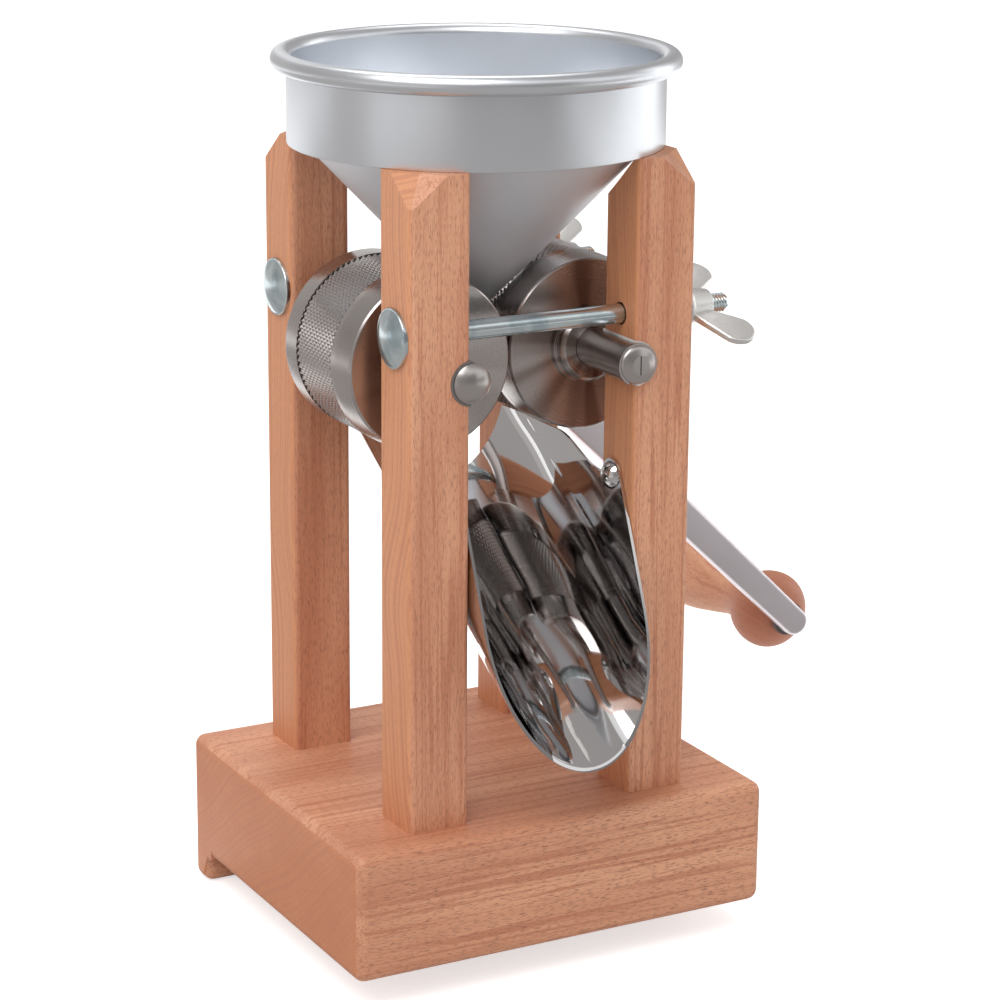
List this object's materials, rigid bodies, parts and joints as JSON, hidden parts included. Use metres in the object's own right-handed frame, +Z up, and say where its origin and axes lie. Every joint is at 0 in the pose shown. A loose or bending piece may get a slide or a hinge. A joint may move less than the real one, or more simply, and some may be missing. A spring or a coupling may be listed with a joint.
{
  "type": "manual grain flaker",
  "caption": "Hand-cranked table flaker with a lift-off funnel, paired knurled rollers between wooden posts, clamp bolts with wing nuts and a bent steel chute.",
  "frame": {"origin": "centre of the base block's underside", "axes": "+Z up, -Y to the front where the chute's lip stands out, +X to the right where the wing nuts are"},
  "size_m": [0.2612, 0.2522, 0.2768],
  "materials": {
    "wood": "oiled beech",
    "handle_wood": "oiled beech, turned",
    "zinc": "zinc plated",
    "spun_aluminium": "satin",
    "roller_steel": "turned",
    "axle_steel": "ground",
    "white_plastic": "matte",
    "cast_metal": "bright cast",
    "mirror_steel": "polished stainless",
    "crank_aluminium": "satin"
  },
  "bodies": {
    "stand": {"base_block": "wood", "stop_batten": "wood", "batten_screws": "zinc", "post_front_left": "wood", "post_front_right": "wood", "post_rear_left": "wood", "post_rear_right": "wood", "foot_screws": "zinc", "bush_front_left": "white_plastic", "bush_front_right": "white_plastic", "bush_rear_left": "white_plastic", "bush_rear_right": "white_plastic", "clamp_bolt_front": "zinc", "clamp_bolt_rear": "zinc", "chute": "mirror_steel", "chute_screw_left": "mirror_steel", "chute_screw_right": "mirror_steel"},
    "hopper": {"hopper_band": "spun_aluminium", "hopper_funnel": "spun_aluminium"},
    "driven_roller": {"roller_right": "roller_steel", "axle_right": "axle_steel", "collar_right": "roller_steel", "spacer_right": "roller_steel", "retaining_ring": "axle_steel", "crank_arm": "crank_aluminium", "grub_screw": "zinc", "handle_bolt": "zinc", "handle_washer": "axle_steel"},
    "idler_roller": {"roller_left": "roller_steel", "axle_left": "axle_steel", "collar_left": "roller_steel", "spacer_left": "roller_steel"},
    "handle": {"crank_handle": "handle_wood"},
    "front_washer": {"washer_front": "zinc"},
    "front_wing_nut": {"wing_nut_front": "cast_metal"},
    "rear_washer": {"washer_rear": "zinc"},
    "rear_wing_nut": {"wing_nut_rear": "cast_metal"}
  },
  "joints": [
    {"name": "hopper_lift", "type": "slide", "parent": "stand", "child": "hopper", "axis": [0, 0, 1], "range_m": [0, 0.09]},
    {"name": "crank_turn", "type": "hinge", "parent": "stand", "child": "driven_roller", "pos_m": [0.0278, 0, 0.1773], "axis": [0, 1, 0], "continuous": true},
    {"name": "idler_turn", "type": "hinge", "parent": "stand", "child": "idler_roller", "pos_m": [-0.0278, 0, 0.1773], "axis": [0, 1, 0], "continuous": true},
    {"name": "handle_spin", "type": "hinge", "parent": "driven_roller", "child": "handle", "pos_m": [0.17517, 0.0832, 0.03696], "axis": [0, 1, 0], "continuous": true},
    {"name": "front_clamp_travel", "type": "slide", "parent": "stand", "child": "front_washer", "axis": [1, 0, 0], "range_m": [0, 0.0021]},
    {"name": "front_wing_turn", "type": "hinge", "parent": "front_washer", "child": "front_wing_nut", "pos_m": [0.0492, -0.0405, 0.1908], "axis": [1, 0, 0], "range_deg": [0, 720]},
    {"name": "rear_clamp_travel", "type": "slide", "parent": "stand", "child": "rear_washer", "axis": [1, 0, 0], "range_m": [0, 0.0021]},
    {"name": "rear_wing_turn", "type": "hinge", "parent": "rear_washer", "child": "rear_wing_nut", "pos_m": [0.0492, 0.0405, 0.1908], "axis": [1, 0, 0], "range_deg": [0, 720]}
  ],
  "couplings": [
    {"joint": "idler_turn", "follows": "crank_turn", "ratio": -1},
    {"joint": "front_clamp_travel", "follows": "front_wing_turn", "m_per_rad": 0.00015915},
    {"joint": "rear_clamp_travel", "follows": "rear_wing_turn", "m_per_rad": 0.00015915}
  ]
}
